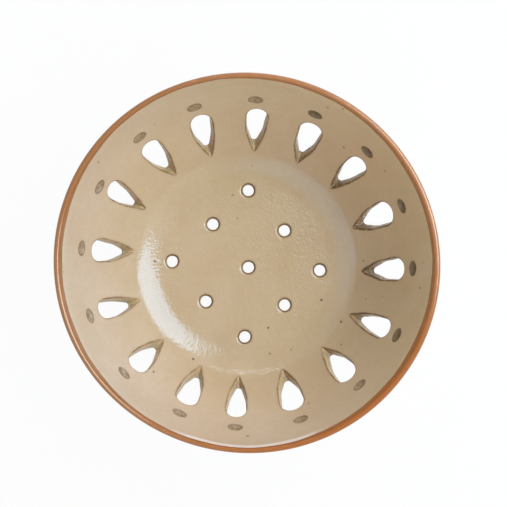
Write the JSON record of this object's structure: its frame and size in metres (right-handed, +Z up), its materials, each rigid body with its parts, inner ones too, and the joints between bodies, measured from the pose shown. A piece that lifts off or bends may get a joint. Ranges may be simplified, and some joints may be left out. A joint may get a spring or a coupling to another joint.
{
  "type": "berry colander bowl",
  "caption": "Hand-made glazed stoneware berry bowl on a foot ring, its wall pierced by teardrops under pressed dimples, its floor by a grid of round drain holes.",
  "frame": {"origin": "centre of the foot ring's resting face", "axes": "+Z up through the bowl to the lip; +Y towards the top of the picture, +X to its right"},
  "size_m": [0.2, 0.2, 0.075],
  "materials": {
    "fired_clay": "bare fired stoneware, matt and slightly gritty",
    "fired_slip": "bare fired slip, matt and smooth",
    "beige_glaze": "glossy beige glaze with iron specks",
    "orange_glaze": "glossy orange-brown glaze band",
    "edge_glaze": "glossy glaze, thin and browner over cut edges",
    "pooled_glaze": "glossy glaze, thick and darker where it pooled"
  },
  "bodies": {
    "root": {"clay_body": "fired_clay", "foot_ring": "fired_clay", "luting_slip": "fired_slip", "inside_glaze": "beige_glaze", "outside_glaze": "beige_glaze", "underside_glaze": "beige_glaze", "lip_band": "orange_glaze", "teardrop_linings": "edge_glaze", "drain_linings": "edge_glaze", "dimple_pools": "pooled_glaze"}
  },
  "joints": []
}
